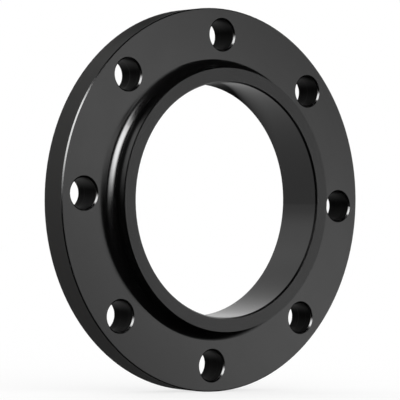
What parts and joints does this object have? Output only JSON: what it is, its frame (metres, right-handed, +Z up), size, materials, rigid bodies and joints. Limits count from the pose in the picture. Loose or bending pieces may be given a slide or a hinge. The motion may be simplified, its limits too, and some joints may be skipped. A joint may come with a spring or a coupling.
{
  "type": "pipe flange",
  "caption": "Hubbed steel pipe flange: a thick drilled ring with a raised gasket face, a short welding hub and a plain bore.",
  "frame": {"origin": "centre of the bore in the plane of the gasket face", "axes": "+Y along the bore, out of the gasket face; the hub points along -Y; +Z up, through the centre of one bolt hole"},
  "size_m": [0.2794, 0.0381, 0.2794],
  "materials": {
    "black_steel": "forged steel, machined all over, with an even satin to glossy black coat"
  },
  "bodies": {
    "root": {"flange": "black_steel"}
  },
  "joints": []
}
